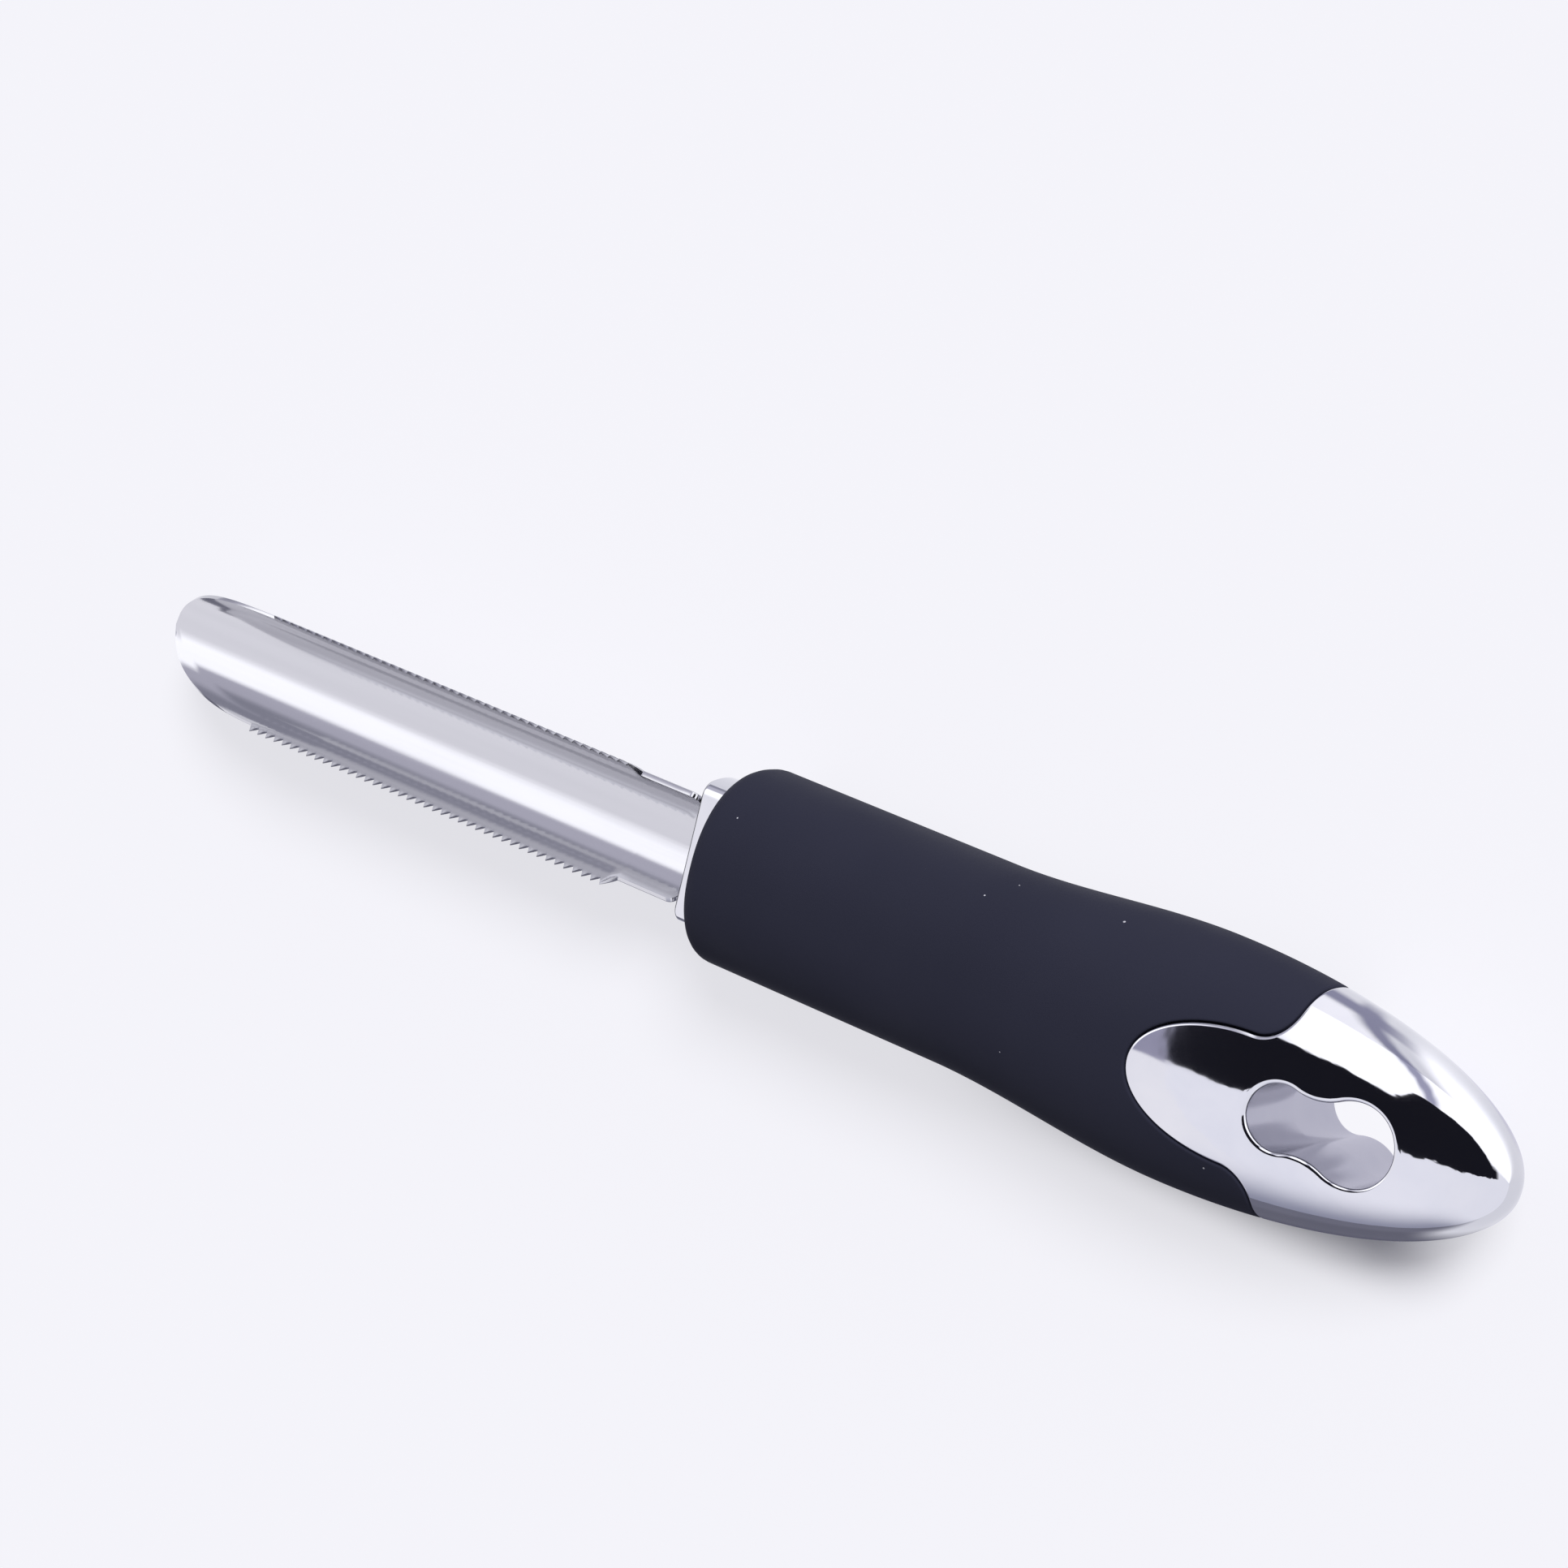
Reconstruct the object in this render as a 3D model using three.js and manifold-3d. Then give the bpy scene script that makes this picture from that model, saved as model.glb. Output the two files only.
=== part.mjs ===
// Pepper corer: a serrated stainless trough on a straight tang, a chrome collar, a plastic handle core,
// a soft grip sleeve and a chrome end cap whose two tongues clasp the core and carry the hanging hole.
//
// Tool frame, in millimetres: x runs from the collar's front face to the butt, z out of the trough's open
// side, y across. The finished group lies on its back on z = 0, centred along its length.

import * as THREE from 'three';
import { mergeVertices } from 'three/addons/utils/BufferGeometryUtils.js';
import Module from 'manifold-3d';

const wasm = await Module();
wasm.setup();

// Fits between pieces
const SEAT_GAP = 0.3;

// Blade: one strip of sheet, rolled into a trough
const BLADE_LENGTH = 100;
const TROUGH_RADIUS = 8.85;
const TROUGH_BOTTOM = -0.7;
const SHEET = 0.8;
const PLAIN_EDGE_HEIGHT = 4;
const PLAIN_EDGE_LENGTH = 10;
const EDGE_CORNER_RADIUS = 1.3;
const TOOTH_ROOT_HEIGHT = 4.7;
const TOOTH_TIP_HEIGHT = 6.1;
const TOOTH_PITCH = 1.6;
const TOOTH_FRONT = 0.95;
const TOOTH_RUN_OUT = 1.3;
const GROUND_BASE_HEIGHT = 3.3;
const GROUND_EDGE = 0.2;
const NOSE_LENGTH = 22;
const TANG_LENGTH = 52;
const TANG_TOP = 1;
const TANG_CORNER_RADIUS = 1.5;

// Pins that hold the tang in the core
const PIN_RADIUS = 1.5;
const PIN_LENGTH = 13;
const PIN_PLACES = [0.42 * TANG_LENGTH, 0.8 * TANG_LENGTH];

// Collar: a round bolster with one flat on the trough's open side
const COLLAR_RADIUS = 10.2;
const COLLAR_FLAT_HEIGHT = 4.3;
const COLLAR_CORNER_RADIUS = 2;
const COLLAR_LENGTH = 12;
const COLLAR_EDGE_FILLET = 0.6;

// Handle: the outer form that the grip and the cap share
const GRIP_FRONT = 5.2;
const GRIP_FRONT_FILLET = 2.6;
const FLARE_BEGIN = 45;
const BULGE = 78.6;
const HANDLE_LENGTH = 125;
const FRONT_HALF_HEIGHT = 13.6;
const BULGE_HALF_HEIGHT = 16.1;
const HALF_THICKNESS = 11.9;
const SECTION_POWER = 2.25;
const GRIP_WALL = 2;

// Saddle joint between the grip and the cap, drawn in plan
const TONGUE_NOSE = 75.8;
const TONGUE_TAPER = 15;
const TONGUE_HALF_WIDTH = 8.4;
const SADDLE_FILLET = 4;

// Hanging hole: two round lobes joined by a soft waist
const HOLE_FRONT = 92.5;
const HOLE_FRONT_RADIUS = 4.7;
const HOLE_REAR_RADIUS = 5.8;
const HOLE_SPACING = 9.35;
const HOLE_WAIST_RADIUS = 6.4;
const HOLE_WALL = 3.1;

// Facet counts
const SECTION_SIDES = 40;
const FILLET_STEPS = 4;
const FLARE_STEPS = 8;
const CAP_STEPS = 10;
const NOSE_STEPS = 12;
const ARC_STEPS = 10;

const QUARTER = Math.PI / 2;
const REACH = 60;
const AXIS_X = new THREE.Vector3(1, 0, 0);
const AXIS_Y = new THREE.Vector3(0, 1, 0);
const AXIS_Z = new THREE.Vector3(0, 0, 1);

// Closed three.js geometry to a solid that can be joined and cut
function solidOf(geometry) {
  const plain = geometry.clone();
  plain.deleteAttribute('normal');
  plain.deleteAttribute('uv');
  const merged = mergeVertices(plain, 1e-4);
  const vertProperties = new Float32Array(merged.attributes.position.array);
  const triVerts = new Uint32Array(merged.index.array);
  return new wasm.Manifold(new wasm.Mesh({ numProp: 3, vertProperties, triVerts }));
}

// Solid back to a three.js geometry
function geometryOf(solid) {
  const mesh = solid.getMesh();
  const geometry = new THREE.BufferGeometry();
  geometry.setAttribute('position', new THREE.BufferAttribute(new Float32Array(mesh.vertProperties), 3));
  geometry.setIndex(new THREE.BufferAttribute(new Uint32Array(mesh.triVerts), 1));
  geometry.computeVertexNormals();
  return geometry;
}

// Outline in (y, z) carried along the tool from one x to another, its end edges rounded if asked
function alongTool(shape, from, to, fillet = 0) {
  const geometry = new THREE.ExtrudeGeometry(shape, {
    depth: to - from - 2 * fillet,
    curveSegments: ARC_STEPS,
    bevelEnabled: fillet > 0,
    bevelThickness: fillet,
    bevelSize: fillet,
    bevelOffset: -fillet,
    bevelSegments: 2,
  });
  geometry.applyMatrix4(new THREE.Matrix4().makeBasis(AXIS_Y, AXIS_Z, AXIS_X));
  geometry.translate(from + fillet, 0, 0);
  return solidOf(geometry);
}

// Outline in (x, z) carried right across the tool
function acrossTool(shape) {
  const settings = { depth: 2 * REACH, curveSegments: ARC_STEPS, bevelEnabled: false };
  const geometry = new THREE.ExtrudeGeometry(shape, settings);
  geometry.applyMatrix4(new THREE.Matrix4().makeBasis(AXIS_X, AXIS_Z, AXIS_Y.clone().negate()));
  geometry.translate(0, REACH, 0);
  return solidOf(geometry);
}

// Outline in (x, y) carried right through the tool's thickness
function throughTool(shape) {
  const settings = { depth: 2 * REACH, curveSegments: ARC_STEPS, bevelEnabled: false };
  const geometry = new THREE.ExtrudeGeometry(shape, settings);
  geometry.translate(0, 0, -REACH);
  return solidOf(geometry);
}

// Upright round rod at a place on the tool's axis
function uprightRod(x, radius, bottom, top) {
  const geometry = new THREE.CylinderGeometry(radius, radius, top - bottom, 16);
  geometry.rotateX(QUARTER);
  geometry.translate(x, 0, (bottom + top) / 2);
  return solidOf(geometry);
}

// Rings of points joined into a skin, each end closed on a point of the tool's axis
function loft(rings, startX, endX) {
  const sides = rings[0].length;
  const positions = rings.flatMap((ring) => ring.flatMap((point) => point.toArray()));
  const triangles = [];
  for (let row = 0; row + 1 < rings.length; row += 1) {
    for (let side = 0; side < sides; side += 1) {
      const next = (side + 1) % sides;
      const here = row * sides;
      const ahead = here + sides;
      triangles.push(here + side, here + next, ahead + next);
      triangles.push(here + side, ahead + next, ahead + side);
    }
  }
  const start = positions.length / 3;
  const end = start + 1;
  const lastRow = (rings.length - 1) * sides;
  positions.push(startX, 0, 0, endX, 0, 0);
  for (let side = 0; side < sides; side += 1) {
    const next = (side + 1) % sides;
    triangles.push(start, next, side);
    triangles.push(end, lastRow + side, lastRow + next);
  }
  const geometry = new THREE.BufferGeometry();
  geometry.setAttribute('position', new THREE.Float32BufferAttribute(positions, 3));
  geometry.setIndex(triangles);
  return solidOf(geometry);
}

// Superellipse section of the handle at one x, drawn in by an even offset; its four quarter facets lie on the
// stated half sizes, so the handle's back is a true flat strip
function section(x, offset) {
  const halfHeight = halfHeightAt(x) - offset;
  const halfThickness = HALF_THICKNESS * fullnessAt(x) - offset;
  const power = 2 / SECTION_POWER;
  const flatten = Math.cos(Math.PI / SECTION_SIDES) ** power;
  const ring = [];
  for (let side = 0; side < SECTION_SIDES; side += 1) {
    const turn = ((side + 0.5) / SECTION_SIDES) * 4 * QUARTER;
    const across = Math.cos(turn);
    const up = Math.sin(turn);
    const y = (halfHeight * Math.sign(across) * Math.abs(across) ** power) / flatten;
    const z = (halfThickness * Math.sign(up) * Math.abs(up) ** power) / flatten;
    ring.push(new THREE.Vector3(x, y, z));
  }
  return ring;
}

// Share of the full section that is left at x: whole up to the bulge, then a half ellipse to the butt
function fullnessAt(x) {
  const along = Math.max(0, (x - BULGE) / (HANDLE_LENGTH - BULGE));
  return Math.sqrt(Math.max(0, 1 - along * along));
}

// Half height in plan: straight, then a soft swell up to the bulge
function halfHeightAt(x) {
  const along = THREE.MathUtils.smoothstep(x, FLARE_BEGIN, BULGE);
  return THREE.MathUtils.lerp(FRONT_HALF_HEIGHT, BULGE_HALF_HEIGHT, along) * fullnessAt(x);
}

// Places along the swell where sections stand
function swellPlaces(from, to) {
  const places = [];
  for (let step = 0; step <= FLARE_STEPS; step += 1) {
    const x = THREE.MathUtils.lerp(FLARE_BEGIN, BULGE, step / FLARE_STEPS);
    if (x > from && x < to) places.push(x);
  }
  return places;
}

// Whole handle: rounded front edge, straight stretch, swell, half ellipse to the butt
function handleForm() {
  const rings = [];
  for (let step = 0; step <= FILLET_STEPS; step += 1) {
    const turn = (step / FILLET_STEPS) * QUARTER;
    const x = GRIP_FRONT + GRIP_FRONT_FILLET * (1 - Math.cos(turn));
    rings.push(section(x, GRIP_FRONT_FILLET * (1 - Math.sin(turn))));
  }
  for (const x of swellPlaces(GRIP_FRONT, HANDLE_LENGTH)) rings.push(section(x, 0));
  for (let step = 1; step < CAP_STEPS; step += 1) {
    const turn = (step / CAP_STEPS) * QUARTER;
    rings.push(section(BULGE + (HANDLE_LENGTH - BULGE) * Math.sin(turn), 0));
  }
  return loft(rings, GRIP_FRONT, HANDLE_LENGTH);
}

// Core's form, a wall thickness inside the handle, grown by a gap where it is used as a pocket
function coreForm(grow) {
  const from = CORE_FRONT - grow;
  const to = CORE_REAR + grow;
  const places = [from, ...swellPlaces(from, to), to];
  const offset = GRIP_WALL + SEAT_GAP - grow;
  return loft(places.map((x) => section(x, offset)), from, to);
}

// Plan of the cap's side of the saddle: two blended tongues that run forward, grown where it cuts the grip
function saddleShape(grow) {
  const shoulder = TONGUE_NOSE + TONGUE_TAPER;
  const nose = TONGUE_TAPER + grow;
  const width = TONGUE_HALF_WIDTH + grow;
  const fillet = SADDLE_FILLET - grow;
  const side = width + fillet;
  const far = HANDLE_LENGTH + REACH;
  const shape = new THREE.Shape();
  shape.moveTo(far, -REACH);
  shape.lineTo(shoulder + fillet, -REACH);
  shape.absarc(shoulder, -side, fillet, 0, QUARTER, false);
  shape.absellipse(shoulder, 0, nose, width, -QUARTER, -3 * QUARTER, true, 0);
  shape.absarc(shoulder, side, fillet, -QUARTER, 0, false);
  shape.lineTo(shoulder + fillet, REACH);
  shape.lineTo(far, REACH);
  return shape;
}

// Plan of the hanging hole: two lobes, with a waist arc on each side that touches both
function holeShape() {
  const front = HOLE_FRONT + HOLE_FRONT_RADIUS;
  const rear = front + HOLE_SPACING;
  const toFront = HOLE_FRONT_RADIUS + HOLE_WAIST_RADIUS;
  const toRear = HOLE_REAR_RADIUS + HOLE_WAIST_RADIUS;
  const along = (HOLE_SPACING ** 2 + toFront ** 2 - toRear ** 2) / (2 * HOLE_SPACING);
  const out = Math.sqrt(toFront ** 2 - along ** 2);
  const frontTurn = Math.atan2(out, along);
  const rearTurn = Math.atan2(out, along - HOLE_SPACING);
  const half = 2 * QUARTER;
  const shape = new THREE.Shape();
  shape.absarc(front, 0, HOLE_FRONT_RADIUS, frontTurn, 2 * half - frontTurn, false);
  shape.absarc(front + along, -out, HOLE_WAIST_RADIUS, half - frontTurn, half - rearTurn, true);
  shape.absarc(rear, 0, HOLE_REAR_RADIUS, -rearTurn, rearTurn, false);
  shape.absarc(front + along, out, HOLE_WAIST_RADIUS, rearTurn - half, frontTurn - half, true);
  return shape;
}

// Band of sheet bent to the trough's arc, cut level at a height and grown where it is used as a slot
function arcBandShape(top, grow) {
  const centre = TROUGH_BOTTOM + TROUGH_RADIUS;
  const outer = TROUGH_RADIUS + grow;
  const inner = TROUGH_RADIUS - SHEET - grow;
  const outerTurn = Math.acos((centre - top) / outer);
  const innerTurn = Math.acos((centre - top) / inner);
  const shape = new THREE.Shape();
  shape.absarc(0, centre, outer, -QUARTER - outerTurn, -QUARTER + outerTurn, false);
  shape.absarc(0, centre, inner, -QUARTER + innerTurn, -QUARTER - innerTurn, true);
  return shape;
}

// What is cut away above the blade's edge, seen from the side: nose sweep, saw teeth, the plain
// edge with its round corner at the collar, and the step down to the tang
function bladeCutShape() {
  const noseStart = NOSE_LENGTH - BLADE_LENGTH;
  const noseDrop = TOOTH_ROOT_HEIGHT - TROUGH_BOTTOM;
  const lastRoot = -PLAIN_EDGE_LENGTH - TOOTH_RUN_OUT - TOOTH_FRONT;
  const teeth = Math.floor((lastRoot - noseStart) / TOOTH_PITCH);
  const shape = new THREE.Shape();
  shape.moveTo(-BLADE_LENGTH - SHEET, REACH);
  shape.lineTo(-BLADE_LENGTH - SHEET, TROUGH_BOTTOM);
  for (let step = NOSE_STEPS; step >= 0; step -= 1) {
    const ahead = step / NOSE_STEPS;
    shape.lineTo(noseStart - NOSE_LENGTH * ahead, TOOTH_ROOT_HEIGHT - noseDrop * ahead ** 2);
  }
  for (let tooth = teeth; tooth >= 0; tooth -= 1) {
    const root = lastRoot - tooth * TOOTH_PITCH;
    shape.lineTo(root, TOOTH_ROOT_HEIGHT);
    shape.lineTo(root + TOOTH_FRONT, TOOTH_TIP_HEIGHT);
  }
  shape.lineTo(-PLAIN_EDGE_LENGTH, PLAIN_EDGE_HEIGHT);
  const corner = EDGE_CORNER_RADIUS;
  shape.absarc(-SEAT_GAP - corner, PLAIN_EDGE_HEIGHT - corner, corner, QUARTER, 0, true);
  const inner = TANG_CORNER_RADIUS;
  shape.absarc(inner - SEAT_GAP, TANG_TOP + inner, inner, 2 * QUARTER, 3 * QUARTER, false);
  shape.lineTo(TANG_LENGTH + SHEET, TANG_TOP);
  shape.lineTo(TANG_LENGTH + SHEET, REACH);
  return shape;
}

// What is ground away inside the toothed edges: the room between two bevels that thin the sheet to its tips
function groundShape() {
  const centre = TROUGH_BOTTOM + TROUGH_RADIUS;
  const base = Math.sqrt((TROUGH_RADIUS - SHEET) ** 2 - (centre - GROUND_BASE_HEIGHT) ** 2);
  const tip = Math.sqrt((TROUGH_RADIUS - GROUND_EDGE) ** 2 - (centre - TOOTH_TIP_HEIGHT) ** 2);
  const shape = new THREE.Shape();
  shape.moveTo(-base, GROUND_BASE_HEIGHT);
  shape.lineTo(base, GROUND_BASE_HEIGHT);
  shape.lineTo(tip, TOOTH_TIP_HEIGHT);
  shape.lineTo(tip, REACH);
  shape.lineTo(-tip, REACH);
  shape.lineTo(-tip, TOOTH_TIP_HEIGHT);
  return shape;
}

// Section of the curved slot that the tang passes through
function tangSlotShape() {
  return arcBandShape(TANG_TOP + TANG_CORNER_RADIUS + SEAT_GAP, SEAT_GAP);
}

// Section of the collar: a round with a flat on top and rounded corners, grown where the grip fits round it
function collarShape(grow) {
  const radius = COLLAR_RADIUS + grow;
  const flat = COLLAR_FLAT_HEIGHT + grow;
  const corner = COLLAR_CORNER_RADIUS;
  const up = flat - corner;
  const out = Math.sqrt((radius - corner) ** 2 - up ** 2);
  const turn = Math.atan2(up, out);
  const shape = new THREE.Shape();
  shape.absarc(out, up, corner, QUARTER, turn, true);
  shape.absarc(0, 0, radius, turn, 2 * QUARTER - turn, true);
  shape.absarc(-out, up, corner, 2 * QUARTER - turn, QUARTER, true);
  return shape;
}

const CORE_FRONT = COLLAR_LENGTH + SEAT_GAP;
const CORE_REAR = HOLE_FRONT - HOLE_WALL - SEAT_GAP;
const CORE_BACK = GRIP_WALL + SEAT_GAP - HALF_THICKNESS;

function makeBlade() {
  const trough = alongTool(arcBandShape(TOOTH_TIP_HEIGHT + SHEET, 0), -BLADE_LENGTH, TANG_LENGTH);
  const ground = alongTool(groundShape(), -BLADE_LENGTH - SHEET, -PLAIN_EDGE_LENGTH - TOOTH_RUN_OUT);
  let blade = trough.subtract(acrossTool(bladeCutShape())).subtract(ground);
  const radius = PIN_RADIUS + SEAT_GAP;
  for (const x of PIN_PLACES) blade = blade.subtract(uprightRod(x, radius, -REACH, REACH));
  return blade;
}

function makeCollar() {
  const block = alongTool(collarShape(0), 0, COLLAR_LENGTH, COLLAR_EDGE_FILLET);
  return block.subtract(alongTool(tangSlotShape(), -REACH, REACH));
}

function makeCore() {
  const slot = alongTool(tangSlotShape(), 0, TANG_LENGTH + SEAT_GAP);
  let core = coreForm(0).subtract(slot);
  const top = CORE_BACK + SEAT_GAP + PIN_LENGTH + SEAT_GAP;
  for (const x of PIN_PLACES) core = core.subtract(uprightRod(x, PIN_RADIUS + SEAT_GAP, -REACH, top));
  return core;
}

function makePin(x) {
  const bottom = CORE_BACK + SEAT_GAP;
  return uprightRod(x, PIN_RADIUS, bottom, bottom + PIN_LENGTH);
}

function makeGrip() {
  const mouth = alongTool(collarShape(SEAT_GAP), 0, COLLAR_LENGTH + SEAT_GAP);
  const shell = handleForm().subtract(coreForm(SEAT_GAP)).subtract(mouth);
  return shell.subtract(throughTool(saddleShape(SEAT_GAP)));
}

function makeCap() {
  const solid = handleForm().intersect(throughTool(saddleShape(0)));
  return solid.subtract(coreForm(SEAT_GAP)).subtract(throughTool(holeShape()));
}

const stainless = new THREE.MeshStandardMaterial({ color: 0xc4c7cd, roughness: 0.28, metalness: 1 });
const pinSteel = new THREE.MeshStandardMaterial({ color: 0xa9abb0, roughness: 0.4, metalness: 1 });
const chrome = new THREE.MeshStandardMaterial({ color: 0xd2d3d8, roughness: 0.06, metalness: 1 });
const softBlack = new THREE.MeshStandardMaterial({ color: 0x25252d, roughness: 0.72, metalness: 0 });
const corePlastic = new THREE.MeshStandardMaterial({ color: 0x3c3d42, roughness: 0.6, metalness: 0 });

const corer = new THREE.Group();
corer.position.set((BLADE_LENGTH - HANDLE_LENGTH) / 2, 0, HALF_THICKNESS);

function addPiece(name, solid, material) {
  const mesh = new THREE.Mesh(geometryOf(solid), material);
  mesh.name = name;
  corer.add(mesh);
}

addPiece('blade', makeBlade(), stainless);
addPiece('collar', makeCollar(), chrome);
addPiece('handle_core', makeCore(), corePlastic);
addPiece('tang_pin_front', makePin(PIN_PLACES[0]), pinSteel);
addPiece('tang_pin_rear', makePin(PIN_PLACES[1]), pinSteel);
addPiece('grip_sleeve', makeGrip(), softBlack);
addPiece('end_cap', makeCap(), chrome);

export default corer;
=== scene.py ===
import bmesh
import bpy
import numpy as np
from mathutils import Matrix, Vector


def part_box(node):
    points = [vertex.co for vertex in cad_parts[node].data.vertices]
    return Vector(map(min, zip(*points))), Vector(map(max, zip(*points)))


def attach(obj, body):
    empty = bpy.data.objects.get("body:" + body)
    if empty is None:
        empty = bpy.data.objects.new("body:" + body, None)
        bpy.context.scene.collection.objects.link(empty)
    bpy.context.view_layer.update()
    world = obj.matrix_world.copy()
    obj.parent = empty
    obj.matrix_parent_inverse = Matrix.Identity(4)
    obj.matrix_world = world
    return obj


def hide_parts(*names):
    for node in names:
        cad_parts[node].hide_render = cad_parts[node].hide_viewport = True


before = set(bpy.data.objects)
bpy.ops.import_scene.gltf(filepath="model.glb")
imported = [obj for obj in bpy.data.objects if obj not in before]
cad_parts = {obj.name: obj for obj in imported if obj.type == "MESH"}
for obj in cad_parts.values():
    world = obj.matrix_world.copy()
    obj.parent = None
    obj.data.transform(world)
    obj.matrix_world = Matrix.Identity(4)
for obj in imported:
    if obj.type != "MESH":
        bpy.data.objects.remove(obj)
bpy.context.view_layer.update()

# Blade: one strip of stainless sheet rolled into a shallow trough, with saw teeth ground along both edges,
# a swept nose in front and a narrow tang behind. The tang runs through the collar into the handle, where two
# pins hold it.
MM = 0.001
QUARTER = np.pi / 2
MERGE_DISTANCE = 2e-7
SEAT_GAP = 0.3
BLADE_LENGTH = 100
TROUGH_RADIUS = 8.85
TROUGH_BOTTOM = -0.7
SHEET = 0.8
PLAIN_EDGE_HEIGHT = 4
PLAIN_EDGE_LENGTH = 10
EDGE_CORNER_RADIUS = 1.3
TOOTH_ROOT_HEIGHT = 4.7
TOOTH_TIP_HEIGHT = 6.1
TOOTH_PITCH = 1.6
TOOTH_FRONT = 0.95
TOOTH_RUN_OUT = 1.3
GROUND_BASE_HEIGHT = 3.3
GROUND_EDGE = 0.2
PLAIN_EDGE_ROUND = 0.24
GROUND_EDGE_ROUND = 0.06
NOSE_LENGTH = 22
TANG_LENGTH = 52
TANG_TOP = 1
TANG_CORNER_RADIUS = 1.5
ROUND_LIMIT = 0.25
NOSE_POINTS = 48
CORNER_POINTS = 9
EDGE_STEPS = 4
EDGE_ROUND_POINTS = 5
BACK_POINTS = 45
BEVEL_POINTS = 6
INSIDE_POINTS = 41
STEEL_COLOUR = (0.55, 0.55, 0.58)
STEEL_DARK = (0.5, 0.5, 0.53, 1)
STEEL_LIGHT = (0.6, 0.6, 0.63, 1)

# Tool coordinates are millimetres from the middle of the collar's front face: x to the butt, y across, z out
# of the trough. The CAD frame gives their origin.
collar_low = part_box("collar")[0]
grip_low, grip_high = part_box("grip_sleeve")
TOOL_ORIGIN = np.array([collar_low[0], 0, (grip_low[2] + grip_high[2]) / 2])


def grid_quads(rows, columns, start=0, ring=False):
    """Quads between neighbouring points of a grid numbered row by row; a ring joins each row's end to its
    start."""
    across = columns if ring else columns - 1
    row, column = np.meshgrid(np.arange(rows - 1), np.arange(across), indexing="ij")
    beside = (column + 1) % columns
    this_row = row * columns
    next_row = this_row + columns
    corners = [this_row + column, this_row + beside, next_row + beside, next_row + column]
    return (start + np.stack(corners, axis=-1).reshape(-1, 4)).tolist()


def make_piece(name, points, faces, node, crease=40):
    """Mesh of tool points set in the frame, doubles merged, faces turned out, smooth up to a crease in
    degrees."""
    mesh = bpy.data.meshes.new(name)
    mesh.from_pydata((TOOL_ORIGIN + points * MM).tolist(), [], faces)
    work = bmesh.new()
    work.from_mesh(mesh)
    bmesh.ops.remove_doubles(work, verts=work.verts, dist=MERGE_DISTANCE)
    bmesh.ops.dissolve_degenerate(work, edges=work.edges, dist=MERGE_DISTANCE)
    bmesh.ops.recalc_face_normals(work, faces=work.faces)
    work.to_mesh(mesh)
    work.free()
    mesh.shade_smooth()
    mesh.set_sharp_from_angle(angle=np.radians(crease))
    piece = bpy.data.objects.new(name, mesh)
    bpy.context.scene.collection.objects.link(piece)
    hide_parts(node)
    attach(piece, "root")
    return piece


def between(corners, steps):
    """Points of a chain of straight runs, each cut into even steps; the last corner closes the chain."""
    share = np.arange(steps)[:, None, None] / steps
    runs = corners[None, :-1] * (1 - share) + corners[None, 1:] * share
    return np.vstack([runs.transpose(1, 0, 2).reshape(-1, 2), corners[-1:]])


def blade_edge():
    """Edge seen from the side, as (x, height): parabola at the nose, saw teeth, run-out, plain edge with a
    round corner at the collar, then the step down to the level tang."""
    nose_start = NOSE_LENGTH - BLADE_LENGTH
    ahead = np.linspace(1, 0, NOSE_POINTS)[:-1]
    nose_drop = TOOTH_ROOT_HEIGHT - TROUGH_BOTTOM
    nose = np.stack([nose_start - NOSE_LENGTH * ahead, TOOTH_ROOT_HEIGHT - nose_drop * ahead ** 2], axis=1)
    last_root = -PLAIN_EDGE_LENGTH - TOOTH_RUN_OUT - TOOTH_FRONT
    count = int((last_root - nose_start) / TOOTH_PITCH)
    root = last_root - TOOTH_PITCH * np.arange(count, -1, -1)
    low = np.stack([root, np.full_like(root, TOOTH_ROOT_HEIGHT)], axis=1)
    high = np.stack([root + TOOTH_FRONT, np.full_like(root, TOOTH_TIP_HEIGHT)], axis=1)
    teeth = np.stack([low, high], axis=1).reshape(-1, 2)
    plain = np.array([[-PLAIN_EDGE_LENGTH, PLAIN_EDGE_HEIGHT]])
    turn = np.linspace(0, QUARTER, CORNER_POINTS)
    corner_x = -SEAT_GAP - EDGE_CORNER_RADIUS * (1 - np.sin(turn))
    corner_z = PLAIN_EDGE_HEIGHT - EDGE_CORNER_RADIUS * (1 - np.cos(turn))
    step_x = -SEAT_GAP + TANG_CORNER_RADIUS * (1 - np.cos(turn))
    step_z = TANG_TOP + TANG_CORNER_RADIUS * (1 - np.sin(turn))
    corner = np.stack([corner_x, corner_z], axis=1)
    step = np.stack([step_x, step_z], axis=1)
    tang = np.array([[TANG_LENGTH, TANG_TOP]])
    return np.vstack([nose, between(np.vstack([teeth, plain, corner, step, tang]), EDGE_STEPS)])


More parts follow.
